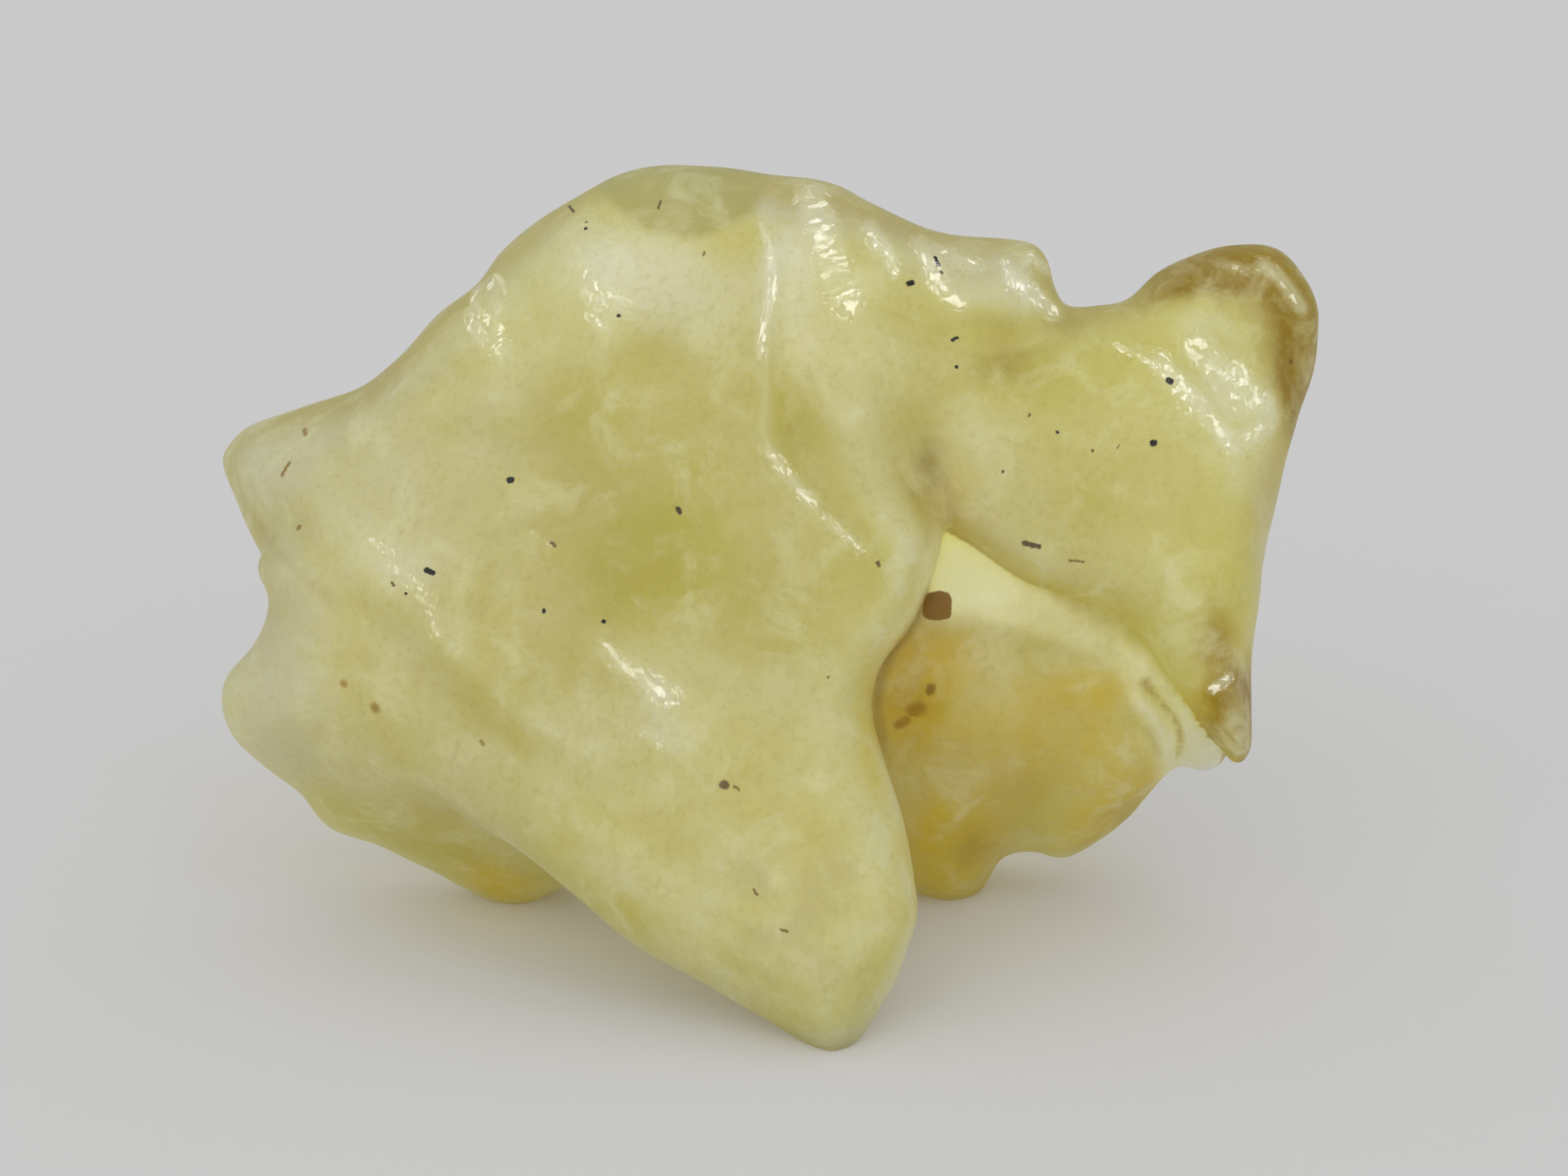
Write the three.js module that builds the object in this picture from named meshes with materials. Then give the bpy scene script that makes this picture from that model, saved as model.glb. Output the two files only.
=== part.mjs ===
// Desert glass specimen: one natural lump of pale yellow-green silica glass, 40 mm wide.
//
// The lump is three thick slabs of glass grown into each other: a front slab that runs down
// to a leg in front, a right slab that ends in two lobes, and a rear block that carries the
// two back feet. It stands on those three points, leaning back.
//
// The slabs are drawn in the lump's own leaned frame: u to the right, v up the slabs and w out
// of the front face. The glass is the set of points where a smooth field is negative. A net of
// squares is laid over its skin and evened out, the lump is stood up and its feet are worn
// flat. All lengths are millimetres.

import * as THREE from 'three';

// ---------------------------------------------------------------- driving dimensions

const LEAN_BACK = THREE.MathUtils.degToRad(16);
const FOOT_LEVEL = -13.15; // height of the worn feet, measured from the leaned frame's origin
const COLOUR = 0xc3b876;

// Slabs: outline seen from the front, half thickness at the rim, extra half thickness that
// the middle gains over `swellOver`, and the width of the rounded rim.
const FRONT_SLAB = {
  half: 3.0, swell: 1.4, swellOver: 8.0, rim: 3.0,
  outline: [
    [-21.0, 4.5], [-20.8, 5.4], [-19.9, 6.2], [-18.0, 6.7], [-15.8, 7.3], [-14.3, 8.5], [-12.9, 10.0],
    [-11.4, 11.1], [-10.4, 12.5], [-8.5, 14.1], [-6.7, 15.0], [-4.9, 15.4], [-3.2, 15.5], [-0.9, 15.2],
    [1.2, 14.9], [3.5, 13.9], [5.1, 11.8], [5.5, 9.0], [5.0, 6.4], [5.0, 4.2], [5.6, 2.2], [5.2, 0.3],
    [4.5, -1.4], [3.5, -2.8], [3.2, -4.3], [3.6, -6.3], [4.1, -8.1], [4.5, -10.0], [4.7, -11.5],
    [4.5, -13.0], [3.7, -14.3], [2.7, -15.6], [1.6, -16.1], [0.4, -15.7], [-1.1, -14.9], [-3.0, -13.7],
    [-5.2, -12.5], [-6.8, -11.4], [-8.2, -10.3], [-9.8, -9.2], [-11.5, -8.0], [-13.3, -6.4],
    [-15.9, -3.7], [-18.3, -0.5], [-20.1, 2.4],
  ],
};
const RIGHT_SLAB = {
  half: 2.7, swell: 1.0, swellOver: 6.0, rim: 2.6,
  outline: [
    [-3.2, 14.6], [1.2, 14.9], [3.2, 14.1], [5.7, 13.2], [8.0, 12.8], [9.1, 12.6], [9.7, 12.0],
    [10.0, 11.0], [10.4, 10.4], [11.4, 10.4], [12.5, 10.6], [13.7, 11.5], [15.2, 12.2], [16.6, 12.5],
    [18.0, 12.4], [19.1, 11.4], [19.7, 10.2], [19.7, 8.9], [19.4, 7.5], [18.8, 6.0], [18.1, 4.3],
    [17.5, 2.0], [17.3, -0.5], [17.2, -2.7], [17.0, -4.6], [16.9, -5.8], [16.4, -6.3], [15.6, -5.4],
    [13.9, -3.2], [12.5, -1.3], [10.8, -0.5], [8.6, 0.2], [6.4, 1.6], [4.4, 2.7], [1.9, 4.3],
    [-1.3, 8.1],
  ],
};
const REAR_BLOCK = {
  half: 3.8, swell: 1.4, swellOver: 8.0, rim: 3.4,
  outline: [
    [-19.1, 1.1], [-18.9, -0.5], [-19.4, -1.9], [-20.3, -3.2], [-20.5, -4.2], [-20.3, -5.3],
    [-19.7, -6.2], [-18.0, -7.5], [-16.8, -8.9], [-15.0, -9.7], [-13.5, -10.5], [-12.2, -11.2],
    [-10.2, -11.9], [-8.6, -11.5], [-5.9, -10.2], [-1.6, -9.6], [2.0, -10.3], [4.7, -11.4], [6.2, -12.0],
    [7.5, -11.6], [8.3, -10.3], [9.4, -10.0], [10.6, -10.2], [11.9, -9.5], [13.0, -8.6], [13.7, -7.8],
    [14.7, -6.8], [15.7, -6.9], [16.4, -6.2], [16.1, -4.0], [13.8, -0.8], [9.7, 3.7], [3.2, 7.8],
    [-4.8, 9.4], [-12.1, 7.2], [-16.5, 3.6],
  ],
};

// Folds raised (or, with a negative height, sunk) along a line on the front.
const FRONT_FOLDS = [
  {
    line: [[-1.0, 15.0], [-0.5, 12.2], [-0.7, 9.4], [-0.6, 6.9], [-0.8, 4.8]],
    width: 0.95, height: 0.5,
  },
  {
    line: [[-0.4, 9.1], [0.2, 6.3], [0.9, 4.0], [2.6, 2.0], [3.4, -0.2], [3.1, -2.0]],
    width: 1.0, height: -0.8,
  },
  { line: [[-1.2, 6.3], [0.0, 4.0], [1.6, 2.5], [3.0, 0.8]], width: 0.95, height: 0.35 },
  {
    line: [[-17.9, 6.3], [-16.2, 2.3], [-14.2, -0.2], [-11.7, -2.6], [-8.0, -5.0], [-4.9, -7.0]],
    width: 1.08, height: 0.5,
  },
  {
    line: [[-19.4, 4.2], [-15.4, -0.5], [-13.9, -1.7], [-11.1, -4.0], [-8.0, -6.2], [-4.9, -8.0]],
    width: 1.08, height: -0.5,
  },
  { line: [[-6.8, -0.8], [-4.3, -3.4], [-1.5, -6.3]], width: 1.2, height: 0.45 },
  { line: [[2.6, 10.5], [4.6, 9.5], [6.5, 8.9], [8.7, 8.8], [10.5, 9.4]], width: 0.95, height: -0.5 },
  { line: [[11.6, 8.9], [13.8, 7.6], [15.2, 6.3], [16.2, 4.5], [16.4, 1.7]], width: 0.95, height: 0.4 },
  { line: [[-8.6, 13.7], [-6.5, 11.0], [-6.2, 8.5]], width: 0.95, height: 0.3 },
  { line: [[-9.3, 11.6], [-11.1, 10.0], [-11.1, 7.9]], width: 0.95, height: 0.3 },
];
// Shallow scoops and swellings on the front: middle, half lengths, turn in degrees, height.
const FRONT_SCOOPS = [
  { at: [-4.8, 10.8], size: [3.8, 2.5], turn: -10, height: -0.9 },
  { at: [1.9, 8.5], size: [2.4, 4.0], turn: 10, height: -0.9 },
  { at: [5.7, 3.5], size: [1.1, 1.5], turn: 0, height: -0.7 },
  { at: [6.0, 6.9], size: [2.4, 1.9], turn: 0, height: -0.4 },
  { at: [15.5, 8.5], size: [1.9, 1.4], turn: 30, height: -0.5 },
  { at: [-9.3, 6.0], size: [3.8, 2.5], turn: -30, height: -0.45 },
  { at: [-4.9, 1.1], size: [3.0, 2.1], turn: -30, height: -0.45 },
  { at: [0.0, -3.3], size: [1.6, 4.8], turn: -10, height: -0.35 },
  { at: [0.0, -8.2], size: [1.9, 3.8], turn: -30, height: 0.35 },
  { at: [-13.3, -6.3], size: [2.9, 1.9], turn: -35, height: 0.5 },
  { at: [8.0, -5.1], size: [2.5, 1.9], turn: -10, height: 0.7 },
  { at: [10.5, 3.5], size: [4.8, 2.5], turn: 0, height: -0.45 },
  { at: [6.2, -8.8], size: [1.3, 1.6], turn: 0, height: 0.5 },
  { at: [12.1, -6.7], size: [1.0, 1.6], turn: -40, height: 0.4 },
  { at: [9.3, -7.6], size: [1.4, 1.1], turn: 0, height: -0.5 },
];
const REAR_FOLDS = [
  { line: [[-18, 7], [-11, 5], [-4, 1], [3, -1], [9, 0], [16, 5]], width: 1.3, height: 0.8 },
  { line: [[-3, 14], [-4, 7], [-4, 1]], width: 1.0, height: 0.5 },
  { line: [[9, 0], [8, -5], [5, -10]], width: 1.2, height: 0.6 },
  { line: [[-4, 1], [-8, -4], [-9, -9]], width: 1.2, height: 0.6 },
];
const REAR_SCOOPS = [
  { at: [-10, 9], size: [5.0, 3.6], turn: 20, height: -1.2 },
  { at: [3, 6], size: [5.5, 4.0], turn: -10, height: -1.2 },
  { at: [13, 9], size: [3.0, 3.0], turn: 0, height: -0.7 },
  { at: [-14, -3], size: [3.5, 4.0], turn: 0, height: -0.9 },
  { at: [-1, -6], size: [5.0, 3.5], turn: 10, height: -1.1 },
  { at: [13, -3], size: [3.0, 3.5], turn: 0, height: -0.8 },
  { at: [4, -13], size: [3.0, 3.0], turn: 0, height: -0.5 },
];
// Slow swells that run through the whole lump: wave vector (radians per mm), phase, height.
const SWELLS = [
  { wave: [0.7, 0.4, 0.6], phase: 0.3, height: 0.08 },
  { wave: [-0.5, 0.8, 0.3], phase: 1.7, height: 0.07 },
  { wave: [0.3, -0.6, 0.9], phase: 4.1, height: 0.06 },
];

// ---------------------------------------------------------------- small helpers

const { clamp } = THREE.MathUtils;

/** 0 up to `low`, 1 from `high`, an S-shaped ramp between; low may be above high. */
function ramp(low, high, x) {
  const t = clamp((x - low) / (high - low), 0, 1);
  return t * t * (3 - 2 * t);
}

/** About x where x is well above 0 and 0 below, with a bend 1.5 mm wide. */
function bend(x) {
  const width = 1.5;
  return width * Math.log1p(Math.exp(x / width));
}

/** The smaller of a and b, with their meeting rounded over a width k. */
function roundedMin(a, b, k) {
  const t = clamp(0.5 + (0.5 * (b - a)) / k, 0, 1);
  return b * (1 - t) + a * t - k * t * (1 - t);
}

/** A smooth curve through points [u, v], as a list of short straight pieces. */
function piecesOf(points, closed, stepsPerPoint) {
  const corners = points.map(([u, v]) => new THREE.Vector3(u, v, 0));
  const curve = new THREE.CatmullRomCurve3(corners, closed, 'catmullrom', 0.5);
  const spans = closed ? corners.length : corners.length - 1;
  const track = curve.getPoints(spans * stepsPerPoint);
  return track.slice(1).map((end, i) => {
    const start = track[i];
    const du = end.x - start.x;
    const dv = end.y - start.y;
    return { u: start.x, v: start.y, endV: end.y, du, dv, squared: du * du + dv * dv };
  });
}

/** Distance from (u, v) to the nearest piece, and how far along the line that is, 0 to 1. */
function nearest(pieces, u, v) {
  let best = Infinity;
  let along = 0;
  pieces.forEach((p, i) => {
    const t = clamp(((u - p.u) * p.du + (v - p.v) * p.dv) / p.squared, 0, 1);
    const x = u - p.u - t * p.du;
    const y = v - p.v - t * p.dv;
    const squared = x * x + y * y;
    if (squared < best) {
      best = squared;
      along = (i + t) / pieces.length;
    }
  });
  return { distance: Math.sqrt(best), along };
}

/** Distance from (u, v) to a closed outline, positive inside it. */
function depthInside(pieces, u, v) {
  let inside = false;
  for (const p of pieces) {
    const crosses = (p.v > v) !== (p.endV > v);
    if (crosses && u < p.u + ((v - p.v) / p.dv) * p.du) inside = !inside;
  }
  const { distance } = nearest(pieces, u, v);
  return inside ? distance : -distance;
}

// ---------------------------------------------------------------- the field

/** Depth w of each slab's middle surface: planes that bow and bend a little. */
const middleOf = {
  front: (u, v) => 2.9 + 0.1 * u - 0.24 * v - 0.01 * u * u,
  right: (u, v) => 0.8 - 0.1 * v - 0.003 * u * u - 0.2 * bend(-v - 3),
  rear: (u, v) => -1.8 - 0.09 * u - 0.58 * bend(-v - 2) + 0.28 * bend(u - 9),
};

/** The front slab's rim is broad on its lower left and tight on its lower right edge. */
function frontRim(u, v) {
  const broad = 1 + ramp(-6, -14, u) * ramp(6, -2, v);
  const tight = 1 - 0.4 * ramp(0, 4, u) * ramp(4, 1, v);
  return FRONT_SLAB.rim * broad * tight;
}

/** The rear block thins out gently at its top, behind the front slab. */
function rearRim(u, v) {
  return REAR_BLOCK.rim * (1 + 1.1 * ramp(9, 4, u) * ramp(-1, 6, v));
}

/** The rear block flows into the front slab, most of all at its lower left. */
function blendToRear(u, v) {
  const lowerLeft = Math.exp(-(((u + 12.5) / 4.5) ** 2) - ((v + 3) / 6) ** 2);
  return 0.9 + 1.3 * ramp(8, 5, u) + 1.4 * lowerLeft;
}

const BLEND_TO_RIGHT = 1.6; // rounding where the front and right slabs meet
const RELIEF_FADE = 2; // relief fades out over this depth towards a slab's middle surface
const FOLD_TAPER = 0.25; // share of a fold's length over which each end dies away

const outlinePieces = [FRONT_SLAB, RIGHT_SLAB, REAR_BLOCK].map((slab) => piecesOf(slab.outline, true, 4));

function reliefOf(folds, scoops) {
  const lines = folds.map((fold) => ({ ...fold, pieces: piecesOf(fold.line, false, 4) }));
  return (u, v) => {
    let sum = 0;
    for (const { pieces, width, height } of lines) {
      const { distance, along } = nearest(pieces, u, v);
      const taper = ramp(0, FOLD_TAPER, along) * ramp(0, FOLD_TAPER, 1 - along);
      sum += height * taper * Math.exp(-((distance / width) ** 2));
    }
    for (const { at, size, turn, height } of scoops) {
      const angle = THREE.MathUtils.degToRad(turn);
      const x = (u - at[0]) * Math.cos(angle) + (v - at[1]) * Math.sin(angle);
      const y = (v - at[1]) * Math.cos(angle) - (u - at[0]) * Math.sin(angle);
      sum += height * Math.exp(-((x / size[0]) ** 2) - (y / size[1]) ** 2);
    }
    return sum;
  };
}
const frontRelief = reliefOf(FRONT_FOLDS, FRONT_SCOOPS);
const rearRelief = reliefOf(REAR_FOLDS, REAR_SCOOPS);

/**
 * A slab with an elliptical rim: zero on its skin, about the distance away from it.
 * `depth` is the distance inside the outline and `out` the height over the middle surface.
 */
function slabField(slab, depth, rim, out, reliefs) {
  const edge = Math.max(1 - depth / rim, 0);
  const half = slab.half + slab.swell * (1 - Math.exp(-Math.max(depth, 0) / slab.swellOver));
  const face = Math.abs(out) / half;
  const raised = reliefs.front * ramp(0, RELIEF_FADE, out) + reliefs.rear * ramp(0, RELIEF_FADE, -out);
  return (Math.sqrt(edge * edge + face * face) - 1) * slab.half - raised;
}

function swells(u, v, w) {
  let sum = 0;
  for (const { wave: [a, b, c], phase, height } of SWELLS) {
    const drift = 0.8 * Math.sin(0.5 * b * u - 0.6 * a * v + phase);
    sum += height * Math.sin(a * u + b * v + c * w + phase + drift);
  }
  return sum;
}

/** Negative inside the glass, zero on its skin. */
function glass(u, v, w) {
  const [frontDepth, rightDepth, rearDepth] = outlinePieces.map((pieces) => depthInside(pieces, u, v));
  const reliefs = { front: frontRelief(u, v), rear: rearRelief(u, v) };
  const front = slabField(FRONT_SLAB, frontDepth, frontRim(u, v), w - middleOf.front(u, v), reliefs);
  const right = slabField(RIGHT_SLAB, rightDepth, RIGHT_SLAB.rim, w - middleOf.right(u, v), reliefs);
  const rear = slabField(REAR_BLOCK, rearDepth, rearRim(u, v), w - middleOf.rear(u, v), reliefs);
  const slabs = roundedMin(front, right, BLEND_TO_RIGHT);
  return roundedMin(slabs, rear, blendToRear(u, v)) - swells(u, v, w);
}

// ---------------------------------------------------------------- the skin

const GRID_STEP = 0.9; // the skin has about one point in each cell of this size
const GRID_LOW = [-23, -18, -14.8]; // set so that no cell holds two sheets of the skin
const GRID_CELLS = [51, 40, 31];
const EVENING_ROUNDS = 14;

/** Moves a point along the field's slope until the field is zero there. */
function settle(point) {
  const h = 0.02;
  const furthest = 0.4;
  const { x: u, y: v, z: w } = point;
  const value = glass(u, v, w);
  const slope = new THREE.Vector3(
    glass(u + h, v, w) - value,
    glass(u, v + h, w) - value,
    glass(u, v, w + h) - value,
  ).divideScalar(h);
  const step = slope.multiplyScalar(value / Math.max(slope.lengthSq(), 0.04));
  point.sub(step.clampLength(0, furthest));
}

/**
 * A net over the skin: one point in each grid cell that the skin passes through, and a square
 * of four such points around each grid edge that it crosses.
 */
function netOverSkin() {
  const [cellsU, cellsV, cellsW] = GRID_CELLS;
  const place = (i, axis) => GRID_LOW[axis] + i * GRID_STEP;
  const id = (i, j, k) => (i * (cellsV + 1) + j) * (cellsW + 1) + k;
  const inGlass = [];
  for (let i = 0; i <= cellsU; i += 1) {
    for (let j = 0; j <= cellsV; j += 1) {
      for (let k = 0; k <= cellsW; k += 1) inGlass.push(glass(place(i, 0), place(j, 1), place(k, 2)) < 0);
    }
  }
  const points = [];
  const pointOfCell = new Map();
  const pointIn = (i, j, k) => {
    const cell = id(i, j, k);
    if (!pointOfCell.has(cell)) {
      pointOfCell.set(cell, points.length);
      points.push(new THREE.Vector3(place(i + 0.5, 0), place(j + 0.5, 1), place(k + 0.5, 2)));
    }
    return pointOfCell.get(cell);
  };
  const squares = [];
  for (let i = 1; i < cellsU; i += 1) {
    for (let j = 1; j < cellsV; j += 1) {
      for (let k = 1; k < cellsW; k += 1) {
        const here = inGlass[id(i, j, k)];
        const around = [
          [inGlass[id(i + 1, j, k)], [[i, j, k], [i, j - 1, k], [i, j - 1, k - 1], [i, j, k - 1]]],
          [inGlass[id(i, j + 1, k)], [[i, j, k], [i, j, k - 1], [i - 1, j, k - 1], [i - 1, j, k]]],
          [inGlass[id(i, j, k + 1)], [[i, j, k], [i - 1, j, k], [i - 1, j - 1, k], [i, j - 1, k]]],
        ];
        for (const [there, cells] of around) {
          if (here !== there) {
            const square = cells.map((cell) => pointIn(...cell));
            squares.push(here ? square : square.reverse());
          }
        }
      }
    }
  }
  return { points, squares };
}

/** Slides every point towards the middle of its neighbours, and back onto the skin. */
function evenOut(points, squares) {
  const neighbours = points.map(() => new Set());
  for (const square of squares) {
    square.forEach((a, i) => {
      const b = square[(i + 1) % 4];
      neighbours[a].add(b);
      neighbours[b].add(a);
    });
  }
  let even = points;
  for (let round = 0; round < EVENING_ROUNDS; round += 1) {
    even = even.map((point, i) => {
      const middle = new THREE.Vector3();
      neighbours[i].forEach((j) => middle.add(even[j]));
      const moved = point.clone().lerp(middle.divideScalar(neighbours[i].size), 0.5);
      settle(moved);
      return moved;
    });
  }
  even.forEach(settle);
  return even;
}

/** Two triangles for each square, parted along its shorter diagonal. */
function trianglesOf(points, squares) {
  return squares.flatMap(([a, b, c, d]) => (
    points[a].distanceTo(points[c]) < points[b].distanceTo(points[d])
      ? [a, b, c, a, c, d]
      : [a, b, d, b, c, d]
  ));
}

const net = netOverSkin();
const skin = evenOut(net.points, net.squares);
const triangles = trianglesOf(skin, net.squares);

// ---------------------------------------------------------------- standing it up

/** From the leaned frame to X right, Y away and Z up. */
const standUp = new THREE.Matrix4().set(
  1, 0, 0, 0,
  0, Math.sin(LEAN_BACK), -Math.cos(LEAN_BACK), 0,
  0, Math.cos(LEAN_BACK), Math.sin(LEAN_BACK), 0,
  0, 0, 0, 1,
);
skin.forEach((point) => point.applyMatrix4(standUp));

// The feet are worn flat at one level, where the lump has stood.
skin.forEach((point) => {
  point.z = Math.max(point.z, FOOT_LEVEL);
});

const geometry = new THREE.BufferGeometry();
geometry.setFromPoints(skin);
geometry.setIndex(triangles);
geometry.computeBoundingBox();
const { min, max } = geometry.boundingBox;
geometry.translate(-(min.x + max.x) / 2, -(min.y + max.y) / 2, -min.z);
geometry.computeVertexNormals();

const desertGlass = new THREE.Mesh(
  geometry,
  new THREE.MeshStandardMaterial({ color: COLOUR, roughness: 0.28, metalness: 0 }),
);
desertGlass.name = 'desert_glass';

const specimen = new THREE.Group();
specimen.name = 'desert_glass_specimen';
specimen.add(desertGlass);

export default specimen;
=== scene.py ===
"""Desert glass specimen: a worn lump of pale yellow-green natural glass, 40 mm wide, standing on
a leg in front and two small feet behind.

The lump is drawn in its own leaned frame, in millimetres: u to the right, v up the face, w out
of the face. It is then stood up, X right, Y away and Z up, in metres.
"""

import bpy
import numpy as np
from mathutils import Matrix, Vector


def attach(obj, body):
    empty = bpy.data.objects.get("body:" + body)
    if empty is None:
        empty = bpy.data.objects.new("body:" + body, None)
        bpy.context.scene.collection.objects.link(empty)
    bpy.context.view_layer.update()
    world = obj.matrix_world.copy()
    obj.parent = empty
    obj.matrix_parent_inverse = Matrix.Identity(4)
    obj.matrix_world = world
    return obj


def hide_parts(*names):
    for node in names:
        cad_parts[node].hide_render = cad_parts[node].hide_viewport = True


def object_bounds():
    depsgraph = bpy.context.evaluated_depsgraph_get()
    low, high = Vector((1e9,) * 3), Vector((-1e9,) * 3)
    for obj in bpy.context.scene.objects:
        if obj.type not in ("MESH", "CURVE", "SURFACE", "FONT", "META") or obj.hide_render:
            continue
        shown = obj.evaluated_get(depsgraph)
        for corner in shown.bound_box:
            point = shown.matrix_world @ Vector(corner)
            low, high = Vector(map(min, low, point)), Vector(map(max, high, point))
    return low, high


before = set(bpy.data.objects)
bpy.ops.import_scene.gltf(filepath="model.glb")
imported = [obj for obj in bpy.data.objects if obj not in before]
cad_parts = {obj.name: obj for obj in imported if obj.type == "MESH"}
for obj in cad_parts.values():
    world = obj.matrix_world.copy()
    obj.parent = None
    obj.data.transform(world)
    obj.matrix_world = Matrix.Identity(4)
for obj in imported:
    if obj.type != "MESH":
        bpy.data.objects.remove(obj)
cad_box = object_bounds()
scene = bpy.context.scene


# ------------------------------------------------------------------ the lump of glass
# One natural piece: a front slab that runs down to a leg, a right slab that ends in two lobes,
# and a rear block that carries the two back feet. Wind has worn all of it smooth, with folds,
# scoops and patches of fine dimples.

LEAN = np.radians(16)
# The grid that the skin is wrapped round, in the leaned frame.
GRID_LOW, GRID_HIGH, GRID_STEP = (-22, -17.5, -12), (21, 17, 10), 0.22

FRONT = dict(half=3.0, swell=1.4, over=8.0, rim=3.0, outline=[
    (-21.0, 4.5), (-20.8, 5.4), (-19.9, 6.2), (-18.0, 6.7), (-15.8, 7.3), (-14.3, 8.5),
    (-12.9, 10.0), (-11.4, 11.1), (-10.4, 12.5), (-8.5, 14.1), (-6.7, 15.0), (-4.9, 15.4),
    (-3.2, 15.4), (-0.9, 14.9), (1.2, 14.45), (3.5, 13.5), (5.1, 11.7), (5.5, 9.0), (5.0, 6.4),
    (5.0, 4.2), (5.6, 2.2), (5.2, 0.3), (4.5, -1.4), (3.5, -2.8), (3.2, -4.3), (3.6, -6.3),
    (4.1, -8.1), (4.5, -10.0), (4.7, -11.5), (4.2, -12.9), (3.4, -14.2), (2.5, -15.5),
    (1.6, -16.1), (0.4, -15.7), (-1.1, -14.9), (-3.0, -13.7), (-5.2, -12.5), (-6.8, -11.4),
    (-8.2, -10.3), (-9.8, -9.2), (-11.5, -8.0), (-13.3, -6.4), (-15.9, -3.7), (-18.3, -0.5),
    (-20.1, 2.4)])
RIGHT = dict(half=2.7, swell=1.0, over=6.0, rim=2.6, outline=[
    (-3.2, 14.2), (1.2, 14.4), (3.2, 13.7), (5.7, 13.1), (8.0, 12.8), (9.1, 12.6), (9.7, 12.0),
    (10.0, 11.0), (10.4, 10.4), (11.4, 10.4), (12.5, 10.6), (13.7, 11.5), (15.2, 12.2),
    (16.6, 12.5), (18.0, 12.4), (19.1, 11.4), (19.7, 10.2), (19.7, 8.9), (19.4, 7.5),
    (18.8, 6.0), (18.1, 4.3), (17.5, 2.0), (17.3, -0.5), (17.2, -2.7), (17.0, -4.6),
    (16.9, -5.8), (16.4, -6.3), (15.6, -5.4), (13.9, -3.2), (12.5, -1.3), (10.8, -0.5),
    (8.6, 0.2), (6.4, 1.6), (4.4, 2.7), (1.9, 4.3), (-1.3, 8.1)])
REAR = dict(half=3.8, swell=1.4, over=8.0, rim=3.4, outline=[
    (-19.1, 1.1), (-18.9, -0.5), (-19.4, -1.9), (-20.3, -3.2), (-20.5, -4.2), (-20.3, -5.3),
    (-19.7, -6.2), (-18.0, -7.5), (-16.8, -8.9), (-15.0, -9.7), (-13.5, -10.5), (-12.2, -11.2),
    (-10.2, -11.9), (-8.6, -11.5), (-5.9, -10.2), (-1.6, -9.6), (2.0, -10.3), (4.7, -11.4),
    (6.2, -12.0), (7.5, -11.6), (8.3, -10.3), (9.4, -10.0), (10.6, -10.2), (11.9, -9.5),
    (13.0, -8.6), (13.7, -7.8), (14.7, -6.8), (15.7, -6.9), (16.4, -6.2), (16.1, -4.0),
    (13.8, -0.8), (9.7, 3.7), (3.2, 7.8), (-4.8, 9.4), (-12.1, 7.2), (-16.5, 3.6)])

# Folds: line, half width, height (below 0 for a groove).
FRONT_FOLDS = [
    ([(-1.0, 15.0), (-0.5, 12.2), (-0.7, 9.4), (-0.6, 6.9), (-0.8, 4.8)], 0.42, 0.5),
    ([(-0.4, 9.1), (0.2, 6.3), (0.9, 4.0), (2.6, 2.0), (3.4, -0.2), (3.1, -2.0)], 0.62, -0.26),
    ([(-1.2, 6.3), (0.0, 4.0), (1.6, 2.5), (3.0, 0.8)], 0.4, 0.26),
    ([(-17.9, 6.3), (-16.2, 2.3), (-14.2, -0.2), (-11.7, -2.6), (-8.0, -5.0), (-4.9, -7.0)],
     0.9, 0.4),
    ([(-19.4, 4.2), (-15.4, -0.5), (-13.9, -1.7), (-11.1, -4.0), (-8.0, -6.2), (-4.9, -8.0)],
     1.0, -0.32),
    ([(-6.8, -0.8), (-4.3, -3.4), (-1.5, -6.3)], 1.2, 0.3),
    ([(2.6, 10.5), (4.6, 9.5), (6.5, 8.9), (8.7, 8.8), (10.5, 9.4)], 0.82, -0.5),
    ([(11.6, 8.9), (13.8, 7.6), (15.2, 6.3), (16.2, 4.5), (16.4, 1.7)], 0.57, 0.45),
    ([(13.0, -3.3), (13.5, -4.0), (14.1, -4.7), (14.5, -5.6), (14.5, -6.9)], 0.3, -0.55),
    ([(12.2, -3.7), (13.3, -4.8), (13.9, -5.8), (14.0, -6.9)], 0.36, 0.35),
    ([(12.4, -4.5), (13.1, -5.4), (13.5, -6.5)], 0.35, -0.25),
    ([(12.4, -2.0), (13.9, -3.9), (15.3, -6.3)], 0.44, 0.3),
    ([(-8.6, 13.7), (-6.5, 11.0), (-6.2, 8.5)], 0.82, 0.3),
    ([(-9.3, 11.6), (-11.1, 10.0), (-11.1, 7.9)], 0.82, 0.3),
    ([(-6.2, -10.1), (-2.5, -11.9), (1.3, -14.4)], 0.57, 0.2),
    ([(-8.0, -7.9), (-3.7, -10.1), (0.9, -12.5)], 0.57, 0.2),
    ([(0.8, 14.1), (1.3, 12.6), (2.2, 10.7)], 0.55, 0.35),
    ([(3.0, 13.2), (3.7, 11.8)], 0.4, 0.25), ([(5.0, 12.4), (6.2, 10.5)], 0.45, 0.3),
    ([(7.4, 12.2), (8.4, 10.9), (9.8, 10.0)], 0.45, 0.3),
]
REAR_FOLDS = [
    ([(-18, 7), (-11, 5), (-4, 1), (3, -1), (9, 0), (16, 5)], 1.3, 0.8),
    ([(-3, 14), (-4, 7), (-4, 1)], 1.0, 0.5),
    ([(9, 0), (8, -5), (5, -10)], 1.2, 0.6),
    ([(-4, 1), (-8, -4), (-9, -9)], 1.2, 0.6),
]
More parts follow.
